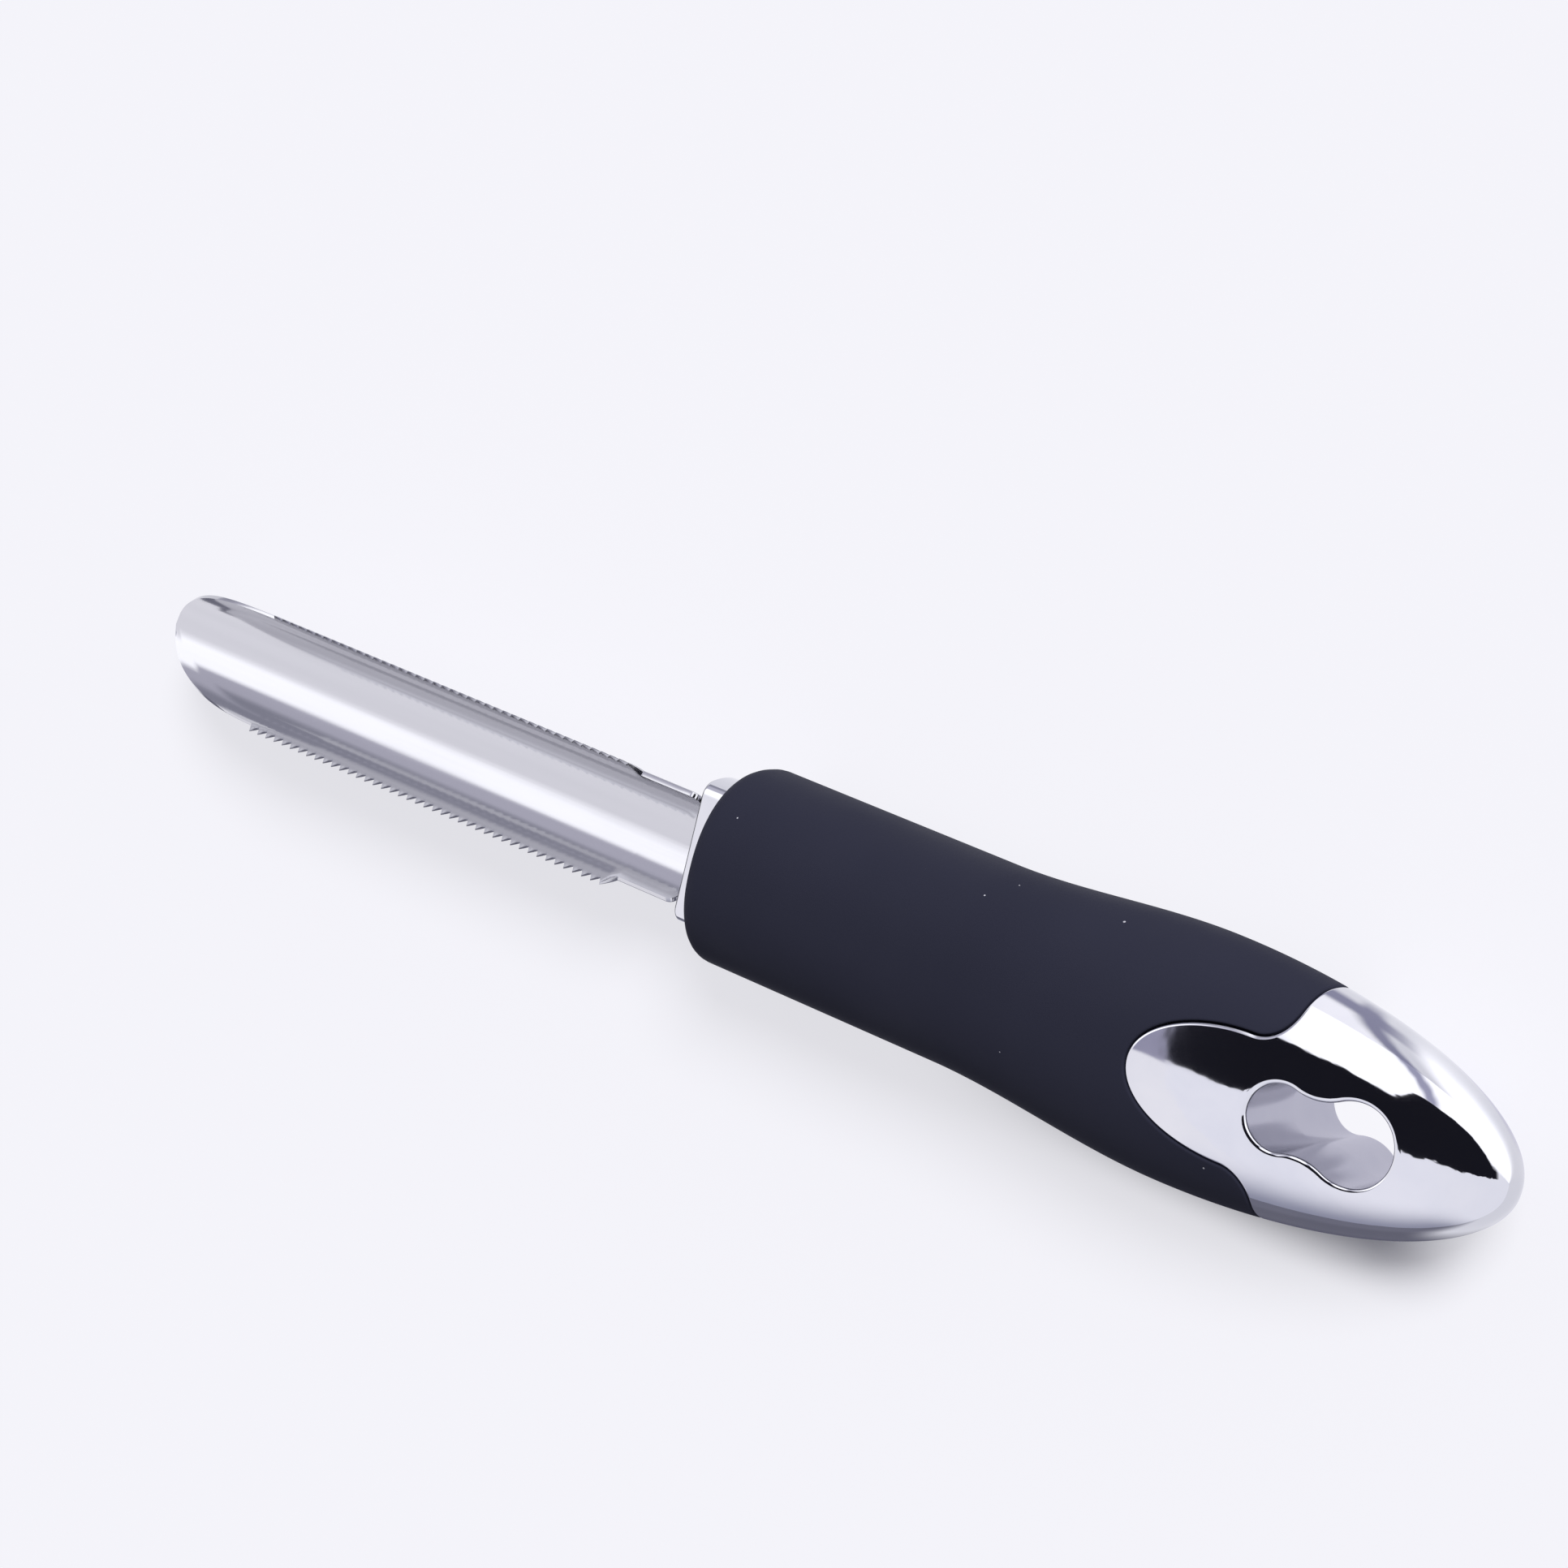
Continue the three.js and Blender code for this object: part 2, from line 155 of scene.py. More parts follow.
def blade_surface():
    """Grid of sections along the edge chain. A section is a closed ring: outer arc with its corners rounded,
    then the inner arc, whose wall thins in a straight bevel up to the tooth tips wherever the edge is
    toothed."""
    edge = blade_edge()
    centre = TROUGH_BOTTOM + TROUGH_RADIUS
    x = edge[:, :1]
    half = np.arccos(np.clip((centre - edge[:, 1:]) / TROUGH_RADIUS, -1, 1))
    toothed = np.clip((-PLAIN_EDGE_LENGTH - x) / TOOTH_RUN_OUT, 0, 1)
    corner = PLAIN_EDGE_ROUND + (GROUND_EDGE_ROUND - PLAIN_EDGE_ROUND) * toothed
    corner = np.minimum(corner, half * TROUGH_RADIUS * ROUND_LIMIT)
    sweep = np.linspace(QUARTER, 0, EDGE_ROUND_POINTS)
    corner_turn = half - corner / TROUGH_RADIUS * (1 - np.sin(sweep))
    corner_radius = TROUGH_RADIUS - corner * (1 - np.cos(sweep))
    back_turn = corner_turn[:, -1:] * np.linspace(-1, 1, BACK_POINTS)[1:-1]
    outer_turn = np.hstack([-corner_turn, back_turn, corner_turn[:, ::-1]])
    outer_radius = np.hstack([corner_radius, np.full_like(back_turn, TROUGH_RADIUS), corner_radius[:, ::-1]])
    tip_turn = np.arccos((centre - TOOTH_TIP_HEIGHT) / TROUGH_RADIUS)
    root_turn = np.arccos((centre - TOOTH_ROOT_HEIGHT) / TROUGH_RADIUS)
    base_turn = np.arccos((centre - GROUND_BASE_HEIGHT) / (TROUGH_RADIUS - SHEET))
    bevel_turn = np.clip(half - root_turn + base_turn, 0, base_turn)
    flank = half + (bevel_turn - half) * np.linspace(0, 1, BEVEL_POINTS)
    middle = bevel_turn * np.linspace(1, -1, INSIDE_POINTS)[1:-1]
    inner_turn = np.hstack([flank, middle, -flank[:, ::-1]])
    ground = np.clip((np.abs(inner_turn) - bevel_turn) / (tip_turn - bevel_turn), 0, 1)
    inner_radius = TROUGH_RADIUS - SHEET + (SHEET - GROUND_EDGE) * toothed * ground
    turn = np.hstack([outer_turn, inner_turn])
    radius = np.hstack([outer_radius, inner_radius])
    y = radius * np.sin(turn)
    z = centre - radius * np.cos(turn)
    return np.stack([np.broadcast_to(x, turn.shape), y, z], axis=-1)


blade_grid = blade_surface()
rows, columns = blade_grid.shape[:2]
blade_faces = grid_quads(rows, columns, ring=True)
blade_faces.append(list(range(columns)))
blade_faces.append(list(range((rows - 1) * columns, rows * columns)))
blade = make_piece("blade_fine", blade_grid.reshape(-1, 3), blade_faces, "blade", crease=28)


def value_group(name, inputs, outputs):
    """Empty shader node group with plain number inputs, given as name and default, and plain number
    outputs."""
    group = bpy.data.node_groups.new(name, "ShaderNodeTree")
    for socket, default in inputs.items():
        made = group.interface.new_socket(socket, in_out="INPUT", socket_type="NodeSocketFloat")
        made.default_value = default
    for socket in outputs:
        group.interface.new_socket(socket, in_out="OUTPUT", socket_type="NodeSocketFloat")
    return group, group.nodes.new("NodeGroupInput"), group.nodes.new("NodeGroupOutput")


def add_node(tree, kind, links=None, **settings):
    """Node of that kind with its settings, each named input joined to a socket or set to a value."""
    node = tree.nodes.new(kind)
    for setting, value in settings.items():
        setattr(node, setting, value)
    for socket, value in (links or {}).items():
        if isinstance(value, bpy.types.NodeSocket):
            tree.links.new(value, node.inputs[socket])
        else:
            node.inputs[socket].default_value = value
    return node


def new_material(name, colour, roughness, metallic):
    """Material with a Principled shader at those constants, and its node tree."""
    material = bpy.data.materials.new(name)
    material.use_nodes = True
    shader = material.node_tree.nodes["Principled BSDF"]
    shader.inputs["Base Color"].default_value = (*colour, 1)
    shader.inputs["Roughness"].default_value = roughness
    shader.inputs["Metallic"].default_value = metallic
    return material, material.node_tree, shader


# Smudges: soft cloudy patches, left by fingers and cloths, for the metals and the rubber
smudges, group_in, group_out = value_group("smudges", {"Scale": 60, "Low": 0, "High": 1}, ["Mask"])
place = add_node(smudges, "ShaderNodeTexCoord").outputs["Object"]
cloud = add_node(smudges, "ShaderNodeTexNoise", {
    "Vector": place, "Scale": group_in.outputs["Scale"], "Detail": 4, "Roughness": 0.55, "Distortion": 0.4})
spread = add_node(smudges, "ShaderNodeMapRange", {
    "Value": cloud.outputs["Fac"], "From Min": 0.35, "From Max": 0.68,
    "To Min": group_in.outputs["Low"], "To Max": group_in.outputs["High"]})
smudges.links.new(spread.outputs["Result"], group_out.inputs["Mask"])

# Blade's finish: rolled stainless, polished lengthwise, so that fine streaks run along the tool
steel, tree, shader = new_material("polished_stainless", STEEL_COLOUR, roughness=0.2, metallic=1)
place = add_node(tree, "ShaderNodeTexCoord").outputs["Object"]
drawn = add_node(tree, "ShaderNodeMapping", {"Vector": place, "Scale": (14, 1400, 1400)}).outputs["Vector"]
streak = add_node(tree, "ShaderNodeTexNoise", {"Vector": drawn, "Scale": 1, "Detail": 3, "Roughness": 0.6})
broad = add_node(tree, "ShaderNodeMapping", {"Vector": place, "Scale": (8, 260, 260)}).outputs["Vector"]
broad_streak = add_node(tree, "ShaderNodeTexNoise", {"Vector": broad, "Scale": 1, "Detail": 2})
marks = add_node(tree, "ShaderNodeGroup", {"Scale": 90, "Low": 0, "High": 0.04}, node_tree=smudges)
streak_rough = add_node(tree, "ShaderNodeMapRange", {
    "Value": streak.outputs["Fac"], "From Min": 0.3, "From Max": 0.7, "To Min": 0.06, "To Max": 0.13})
rough = add_node(tree, "ShaderNodeMath", {
    0: streak_rough.outputs["Result"], 1: marks.outputs["Mask"]}, operation="ADD")
tree.links.new(rough.outputs[0], shader.inputs["Roughness"])
tint = add_node(tree, "ShaderNodeMix", {
    "Factor": broad_streak.outputs["Fac"], "A": STEEL_DARK, "B": STEEL_LIGHT}, data_type="RGBA")
tree.links.new(tint.outputs["Result"], shader.inputs["Base Color"])
relief = add_node(tree, "ShaderNodeBump", {
    "Height": streak.outputs["Fac"], "Strength": 0.06, "Distance": 0.00005})
tree.links.new(relief.outputs["Normal"], shader.inputs["Normal"])
blade.data.materials.append(steel)

# Collar: a die-cast, chromed bolster between blade and grip, round with one flat on the trough's open side.
# The tang passes through a curved slot in it, and its rear half sits in the mouth of the grip.
COLLAR_RADIUS = 10.2
COLLAR_FLAT_HEIGHT = 4.3
COLLAR_CORNER_RADIUS = 2
COLLAR_LENGTH = 12
COLLAR_EDGE_FILLET = 0.7
# Painted shade along the collar's front edge: where its ramp in and its ramp out lie, in mm behind the face
PAINTED_SHADE_BEGIN = (0.01, 0.05)
PAINTED_SHADE_END = (0.35, 0.5)
COLLAR_POINTS = 360
SLOT_POINTS = 24
NOT_ZERO = 1e-6
CHROME_COLOUR = (0.65, 0.65, 0.69)
CHROME_LIGHT = (0.665, 0.665, 0.7, 1)
CHROME_DARK = (0.62, 0.625, 0.67, 1)
PAINTED_SHADE_COLOUR = (0.03, 0.03, 0.035, 1)


def collar_reach(turn, grow):
    """Distance from the axis to the collar's outline in a direction: the round, the corner's arc or the
    flat."""
    rise = np.arctan2(np.sin(turn), np.abs(np.cos(turn)))
    radius = COLLAR_RADIUS + grow
    flat = COLLAR_FLAT_HEIGHT + grow
    up = flat - COLLAR_CORNER_RADIUS
    out = np.sqrt((radius - COLLAR_CORNER_RADIUS) ** 2 - up ** 2)
    towards = out * np.cos(rise) + up * np.sin(rise)
    corner = towards + np.sqrt(np.maximum(towards ** 2 - out ** 2 - up ** 2 + COLLAR_CORNER_RADIUS ** 2, 0))
    level = flat / np.maximum(np.sin(rise), NOT_ZERO)
    return np.where(rise > np.arctan2(flat, out), level, np.where(rise > np.arctan2(up, out), corner, radius))


def collar_rings():
    """Rings of the outline along the axis, drawn in over quarter rounds at both end edges."""
    turn = np.linspace(QUARTER, QUARTER - 4 * QUARTER, COLLAR_POINTS + 1)[:-1]
    sweep = np.linspace(0, QUARTER, CORNER_POINTS)
    inset = COLLAR_EDGE_FILLET * (1 - np.sin(sweep))
    front = COLLAR_EDGE_FILLET * (1 - np.cos(sweep))
    x = np.concatenate([front, COLLAR_LENGTH - front[::-1]])[:, None]
    reach = collar_reach(turn[None, :], -np.concatenate([inset, inset[::-1]])[:, None])
    return np.stack([np.broadcast_to(x, reach.shape), reach * np.cos(turn), reach * np.sin(turn)], axis=-1)


def slot_half():
    """Half outline of the tang's slot in (y, z): outer arc from the middle up, level end, inner arc back
    down."""
    centre = TROUGH_BOTTOM + TROUGH_RADIUS
    top = TANG_TOP + TANG_CORNER_RADIUS + SEAT_GAP
    radius = np.array([TROUGH_RADIUS + SEAT_GAP, TROUGH_RADIUS - SHEET - SEAT_GAP])[:, None]
    turn = np.arccos((centre - top) / radius) * np.linspace(0, 1, SLOT_POINTS)
    arcs = np.stack([radius * np.sin(turn), centre - radius * np.cos(turn)], axis=-1)
    return np.vstack([arcs[0], arcs[1, ::-1]])


rings = collar_rings()
rows, columns = rings.shape[:2]
half_slot = slot_half()
slot_ring = np.vstack([half_slot, half_slot[::-1] * (-1, 1)])
slot_count = len(slot_ring)
slot_ends = [np.insert(slot_ring, 0, x, axis=1) for x in (0, COLLAR_LENGTH)]
collar_faces = grid_quads(rows, columns, ring=True)
slot_start = rows * columns
half_count = len(half_slot)
collar_faces += grid_quads(2, slot_count, start=slot_start, ring=True)
for ring_start, end_start in ((0, slot_start), ((rows - 1) * columns, slot_start + slot_count)):
    outline = ring_start + np.arange(columns + 1) % columns
    right = outline[:columns // 2 + 1]
    left = outline[columns // 2:]
    collar_faces.append([*right, *range(end_start, end_start + half_count)])
    collar_faces.append([*left, *range(end_start + half_count, end_start + slot_count)])
collar_points = np.vstack([rings.reshape(-1, 3), *slot_ends])
collar_faces = [[int(corner) for corner in face] for face in collar_faces]
collar = make_piece("collar_fine", collar_points, collar_faces, "collar", crease=35)


def chrome_finish(name):
    """Bright plating over a die-casting: a true mirror but for faint wiping marks and a slight ripple."""
    chrome, tree, shader = new_material(name, CHROME_COLOUR, roughness=0.05, metallic=1)
    place = add_node(tree, "ShaderNodeTexCoord").outputs["Object"]
    marks = add_node(tree, "ShaderNodeGroup", {"Scale": 70, "Low": 0.03, "High": 0.065}, node_tree=smudges)
    tree.links.new(marks.outputs["Mask"], shader.inputs["Roughness"])
    clouds = add_node(tree, "ShaderNodeGroup", {"Scale": 110, "Low": 0, "High": 1}, node_tree=smudges)
    plate = add_node(tree, "ShaderNodeMix", {
        "Factor": clouds.outputs["Mask"], "A": CHROME_LIGHT, "B": CHROME_DARK}, data_type="RGBA")
    tree.links.new(plate.outputs["Result"], shader.inputs["Base Color"])
    ripple = add_node(tree, "ShaderNodeTexNoise", {"Vector": place, "Scale": 190, "Detail": 2})
    relief = add_node(tree, "ShaderNodeBump", {
        "Height": ripple.outputs["Fac"], "Strength": 0.06, "Distance": 0.0004})
    tree.links.new(relief.outputs["Normal"], shader.inputs["Normal"])
    return chrome, tree, shader


# Collar's finish: the same plating, with a painted line of shade along the front edge, where it meets the
# blade
collar_chrome, tree, shader = chrome_finish("chrome_collar")
place = add_node(tree, "ShaderNodeTexCoord").outputs["Object"]
along_tool = add_node(tree, "ShaderNodeSeparateXYZ", {"Vector": place}).outputs["X"]
# Painted shade: a thin dark band just behind the front edge stands in for the shadow where the blade goes in
shade_line_steps = []
for low, high in (PAINTED_SHADE_BEGIN, PAINTED_SHADE_END):
    step = add_node(tree, "ShaderNodeMapRange", {
        "Value": along_tool, "From Min": collar_low[0] + low * MM, "From Max": collar_low[0] + high * MM})
    shade_line_steps.append(step.outputs["Result"])
painted_shade_line = add_node(tree, "ShaderNodeMath", dict(enumerate(shade_line_steps)), operation="SUBTRACT")
plate = shader.inputs["Base Color"].links[0].from_socket
shaded_plate = add_node(tree, "ShaderNodeMix", {
    "Factor": painted_shade_line.outputs[0], "A": plate, "B": PAINTED_SHADE_COLOUR}, data_type="RGBA")
tree.links.new(shaded_plate.outputs["Result"], shader.inputs["Base Color"])
collar.data.materials.append(collar_chrome)

# Handle core and tang pins: the moulded plastic heart of the handle and the two steel pins through the tang.
# The grip and the cap hide them but for the joint between those two, so the CAD solids stand for them.
CORE_COLOUR = (0.03, 0.03, 0.033)
CORE_DARK = (0.024, 0.024, 0.026, 1)
CORE_LIGHT = (0.038, 0.038, 0.042, 1)
PIN_COLOUR = (0.5, 0.5, 0.52)
core_plastic, tree, shader = new_material("core_plastic", CORE_COLOUR, roughness=0.55, metallic=0)
place = add_node(tree, "ShaderNodeTexCoord").outputs["Object"]
grain = add_node(tree, "ShaderNodeTexNoise", {"Vector": place, "Scale": 900, "Detail": 2})
tone = add_node(tree, "ShaderNodeMix", {
    "Factor": grain.outputs["Fac"], "A": CORE_DARK, "B": CORE_LIGHT}, data_type="RGBA")
tree.links.new(tone.outputs["Result"], shader.inputs["Base Color"])
pin_steel, tree, shader = new_material("pin_steel", PIN_COLOUR, roughness=0.35, metallic=1)
marks = add_node(tree, "ShaderNodeGroup", {"Scale": 300, "Low": 0.28, "High": 0.42}, node_tree=smudges)
tree.links.new(marks.outputs["Mask"], shader.inputs["Roughness"])
hidden_finishes = {"handle_core": core_plastic, "tang_pin_front": pin_steel, "tang_pin_rear": pin_steel}
for node, finish in hidden_finishes.items():
    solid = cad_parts[node]
    solid.data.materials.clear()
    solid.data.materials.append(finish)

# Grip sleeve: soft-touch rubber moulded over the core. It starts in a rounded front edge round the collar,
# swells towards the palm and ends in the lobed joint, where its lip stands beside the chrome with a fine
# shadow gap.
GRIP_FRONT = 5.2
GRIP_FRONT_FILLET = 2.6
FLARE_BEGIN = 45
BULGE = 78.6
HANDLE_LENGTH = 125
FRONT_HALF_HEIGHT = 13.6
BULGE_HALF_HEIGHT = 16.1
HALF_THICKNESS = 11.9
SECTION_POWER = 2.25
GRIP_WALL = 2
TONGUE_NOSE = 75.8
TONGUE_TAPER = 15
TONGUE_HALF_WIDTH = 8.4
SADDLE_FILLET = 4
SHADOW_GAP = 0.16
GRIP_LIP = 0.35
MOUTH_LIP = 0.4
RIM_STEPS = 96
RIM_CURVE_POINTS = 240
RIM_RUN_POINTS = 160
LIP_POINTS = 8
SKIN_POINTS = 110
WALL_POINTS = 5
BORE_POINTS = 16
RUBBER_COLOUR = (0.022, 0.022, 0.03)
RUBBER_DARK = (0.0185, 0.0195, 0.033, 1)
RUBBER_LIGHT = (0.026, 0.027, 0.0445, 1)
RUBBER_SHINE = 0.04
DUST_COLOUR = (0.45, 0.45, 0.5, 1)


def half_height(x):
    """Half height in plan: level, then a smooth swell to the bulge, then a quarter ellipse to the butt."""
    along = np.clip((x - FLARE_BEGIN) / (BULGE - FLARE_BEGIN), 0, 1)
    swell = FRONT_HALF_HEIGHT + (BULGE_HALF_HEIGHT - FRONT_HALF_HEIGHT) * along * along * (3 - 2 * along)
    return swell * fullness(x)


def fullness(x):
    """Share of the full section left at x: whole up to the bulge, then a quarter ellipse to the butt."""
    along = np.clip((x - BULGE) / (HANDLE_LENGTH - BULGE), 0, 1)
    return np.sqrt(1 - along * along)


def share_up(share_across):
    """The superellipse section's height share at a share of its half width."""
    return np.maximum(1 - np.abs(share_across) ** SECTION_POWER, 0) ** (1 / SECTION_POWER)


def on_handle(x, share, depth=0):
    """Point of the handle's form at x, at a share of the half width, sunk by a depth."""
    y = (half_height(x) - depth) * share
    z = (HALF_THICKNESS * fullness(x) - depth) * share_up(share)
    return np.stack(np.broadcast_arrays(x, y, z), axis=-1)


def evenly(points, count):
    """Chain of points cut again into even steps of its length."""
    length = np.concatenate([[0], np.cumsum(np.linalg.norm(np.diff(points, axis=0), axis=1))])
    places = np.linspace(0, length[-1], count + 1)
    return np.stack([np.interp(places, length, points[:, axis]) for axis in range(points.shape[1])], axis=1)


def saddle_rim(grow, depth):
    """Quarter of the joint's rim from the tongue's nose to the handle's side, as (x, share across): in plan a
    quarter ellipse, a round inner corner and a straight run, grown forward, laid on the handle's form sunk by
    a depth."""
    shoulder = TONGUE_NOSE + TONGUE_TAPER
    turn = np.linspace(0, QUARTER, RIM_CURVE_POINTS)
    nose_x = shoulder - (TONGUE_TAPER + grow) * np.cos(turn)
    nose_y = (TONGUE_HALF_WIDTH + grow) * np.sin(turn)
    corner_x = shoulder + (SADDLE_FILLET - grow) * np.sin(turn)
    corner_y = TONGUE_HALF_WIDTH + SADDLE_FILLET - (SADDLE_FILLET - grow) * np.cos(turn)
    reach = half_height(corner_x[-1]) - depth
    start = np.arccos((corner_y[-1] / reach) ** (SECTION_POWER / 2))
    run_y = reach * np.cos(np.linspace(start, 0, RIM_RUN_POINTS)) ** (2 / SECTION_POWER)
    x = np.concatenate([nose_x, corner_x[1:], np.full(RIM_RUN_POINTS - 1, corner_x[-1])])
    y = np.concatenate([nose_y, corner_y[1:], run_y[1:]])
    share = np.clip(y / (half_height(x) - depth), 0, 1)
    chain = np.column_stack([on_handle(x, share, depth), share])
    return evenly(chain, RIM_STEPS)[:, [0, 3]]


def all_round(quarter):
    """Ring of four mirrored quarters, each a chain from the top's middle line to the handle's side."""
    ahead = quarter[..., :-1, :]
    back = quarter[..., :0:-1, :]
    return np.concatenate([ahead, back * (1, 1, -1), ahead * (1, -1, -1), back * (1, -1, 1)], axis=-2)


def grip_rings():
    """Closed run of quarter chains: over the front edge, out along the handle's form, over the lip, down the
    joint, back along the bore and through the mouth round the collar."""
    sweep = np.linspace(0, QUARTER, LIP_POINTS)
    lip_ahead = SHADOW_GAP + GRIP_LIP * (1 - np.sin(sweep))
    lip_depth = GRIP_LIP * (1 - np.cos(sweep))
    lip = [saddle_rim(grow, depth) for grow, depth in zip(lip_ahead, lip_depth)]
    lip_chains = [on_handle(*rim.T, depth) for rim, depth in zip(lip, lip_depth)]
    x_rim, share = lip[0].T
    front = GRIP_FRONT + GRIP_FRONT_FILLET * (1 - np.cos(sweep))
    sunk = GRIP_FRONT_FILLET * (1 - np.sin(sweep))
    edge = [on_handle(np.full_like(share, x), share, depth) for x, depth in zip(front, sunk)]
    skin_x = [front[-1] + (x_rim - front[-1]) * part for part in np.linspace(0, 1, SKIN_POINTS)[1:-1]]
    skin = [on_handle(x, share) for x in skin_x]
    inner_x, inner_share = lip[-1].T
    wall_depth = np.linspace(GRIP_LIP, GRIP_WALL, WALL_POINTS)[1:]
    wall = [on_handle(inner_x, inner_share, depth) for depth in wall_depth]
    bore_end = COLLAR_LENGTH + SEAT_GAP
    bore_x = [inner_x + (bore_end - inner_x) * part for part in np.linspace(0, 1, BORE_POINTS)[1:]]
    bore = [on_handle(x, inner_share, GRIP_WALL) for x in bore_x]
    turn = np.arctan2(edge[0][:, 2], edge[0][:, 1])
    mouth_run = np.linspace(bore_end, GRIP_FRONT + MOUTH_LIP, WALL_POINTS)
    mouth_x = np.concatenate([mouth_run, GRIP_FRONT + MOUTH_LIP * (1 - np.sin(sweep[1:]))])
    mouth_grow = SEAT_GAP + np.concatenate([np.zeros(WALL_POINTS), MOUTH_LIP * (1 - np.cos(sweep[1:]))])
    mouth = []
    for x, grow in zip(mouth_x, mouth_grow):
        reach = collar_reach(turn, grow)
        mouth.append(np.stack([np.full_like(turn, x), reach * np.cos(turn), reach * np.sin(turn)], axis=1))
    return all_round(np.array([*edge, *skin, *lip_chains, *wall, *bore, *mouth, edge[0]]))


grip_grid = grip_rings()
rows, columns = grip_grid.shape[:2]
grip_faces = grid_quads(rows, columns, ring=True)
grip = make_piece("grip_fine", grip_grid.reshape(-1, 3), grip_faces, "grip_sleeve")

# Specks: sparse, tiny grains of dust, one in a few of the cells that the surface is cut into
specks, group_in, group_out = value_group("dust_specks", {"Scale": 200, "Share": 0.1, "Size": 0.1}, ["Mask"])
place = add_node(specks, "ShaderNodeTexCoord").outputs["Object"]
cells = add_node(specks, "ShaderNodeTexVoronoi", {"Vector": place, "Scale": group_in.outputs["Scale"]})
chance = add_node(specks, "ShaderNodeSeparateColor", {"Color": cells.outputs["Color"]})
chosen = add_node(specks, "ShaderNodeMath", {
    0: chance.outputs["Red"], 1: group_in.outputs["Share"]}, operation="LESS_THAN")
sized = add_node(specks, "ShaderNodeMath", {
    0: chance.outputs["Green"], 1: group_in.outputs["Size"]}, operation="MULTIPLY")
in_grain = add_node(specks, "ShaderNodeMath", {
    0: cells.outputs["Distance"], 1: sized.outputs[0]}, operation="LESS_THAN")
shown = add_node(specks, "ShaderNodeMath", {
    0: in_grain.outputs[0], 1: chosen.outputs[0]}, operation="MULTIPLY")
specks.links.new(shown.outputs[0], group_out.inputs["Mask"])

# Grip's finish: black soft-touch rubber with a blue cast, a fine matt grain, wiped patches and a little dust
rubber, tree, shader = new_material("soft_touch_black", RUBBER_COLOUR, roughness=0.6, metallic=0)
shader.inputs["Specular IOR Level"].default_value = RUBBER_SHINE
place = add_node(tree, "ShaderNodeTexCoord").outputs["Object"]
marks = add_node(tree, "ShaderNodeGroup", {"Scale": 45, "Low": 0.52, "High": 0.66}, node_tree=smudges)
tree.links.new(marks.outputs["Mask"], shader.inputs["Roughness"])
shade = add_node(tree, "ShaderNodeTexNoise", {"Vector": place, "Scale": 35, "Detail": 3})
body_tone = add_node(tree, "ShaderNodeMix", {
    "Factor": shade.outputs["Fac"], "A": RUBBER_DARK, "B": RUBBER_LIGHT}, data_type="RGBA")
dust = add_node(tree, "ShaderNodeGroup", {"Scale": 420, "Share": 0.22, "Size": 0.085}, node_tree=specks)
dusty = add_node(tree, "ShaderNodeMix", {
    "Factor": dust.outputs["Mask"], "A": body_tone.outputs["Result"], "B": DUST_COLOUR}, data_type="RGBA")
tree.links.new(dusty.outputs["Result"], shader.inputs["Base Color"])
grain = add_node(tree, "ShaderNodeTexNoise", {"Vector": place, "Scale": 2600, "Detail": 2})
relief = add_node(tree, "ShaderNodeBump", {
    "Height": grain.outputs["Fac"], "Strength": 0.18, "Distance": 0.00008})
tree.links.new(relief.outputs["Normal"], shader.inputs["Normal"])
grip.data.materials.append(rubber)

# End cap: a chromed die-casting whose two leaf-shaped tongues reach forward over the core, one on each face.
# A hanging hole of two round lobes goes right through it; its wall has a slight draft from both faces.
HOLE_FRONT = 92.5
HOLE_FRONT_RADIUS = 4.7
HOLE_REAR_RADIUS = 5.8
HOLE_SPACING = 9.35
HOLE_WAIST_RADIUS = 6.4
HOLE_WALL = 3.1
HOLE_ROUND = 0.65
HOLE_EDGE = 0.1
HOLE_DRAFT = 0.22
CAP_LIP = 0.45
WALL_ROUGHNESS = 0.17
WALL_UPRIGHT = (0.5, 0.25)
WALL_ACROSS = (1.25, 1.15)
WALL_PAST_REAR = (1.2, 0.6)
POCKET_END = HOLE_FRONT - HOLE_WALL
JOINT_SHARE = 0.36
SIDE_STEPS = 96
FACE_STEPS = 56
HOLE_ROUND_POINTS = 10
WALL_PARTS = (0.96, 0.9, 0.8, 0.65, 0.5, 0.35, 0.2, 0.08, 0.02, 0)


def hole_outline(grow, share):
    """Half of the hole's plan at shares of its length from front to rear: front lobe, waist arc that touches
    both lobes, rear lobe, all moved outwards by a growth."""
    front = HOLE_FRONT + HOLE_FRONT_RADIUS
    to_front = HOLE_FRONT_RADIUS + HOLE_WAIST_RADIUS
    to_rear = HOLE_REAR_RADIUS + HOLE_WAIST_RADIUS
    along = (HOLE_SPACING ** 2 + to_front ** 2 - to_rear ** 2) / (2 * HOLE_SPACING)
    out = np.sqrt(to_front ** 2 - along ** 2)
    front_turn = np.arctan2(out, along)
    rear_turn = np.arctan2(out, along - HOLE_SPACING)
    x = np.array([front, front + along, front + HOLE_SPACING])
    y = np.array([0, out, 0])
    radius = np.array([HOLE_FRONT_RADIUS + grow, HOLE_WAIST_RADIUS - grow, HOLE_REAR_RADIUS + grow])
    start = np.array([2 * QUARTER, front_turn - 2 * QUARTER, rear_turn])
    swing = np.array([front_turn - 2 * QUARTER, rear_turn - front_turn, -rear_turn])
    length = radius * np.abs(swing)
    begin = np.cumsum(length) - length
    place = share * length.sum()
    arc = np.searchsorted(begin, place, side="right") - 1
    turn = start[arc] + swing[arc] * (place - begin[arc]) / length[arc]
    return np.stack([x[arc] + radius[arc] * np.cos(turn), y[arc] + radius[arc] * np.sin(turn)], axis=1)


def lifted(plan):
    """Plan points laid on the upper face of the handle's form."""
    x, y = plan[..., 0], plan[..., 1]
    return on_handle(x, np.clip(y / np.maximum(half_height(x), NOT_ZERO), 0, 1))


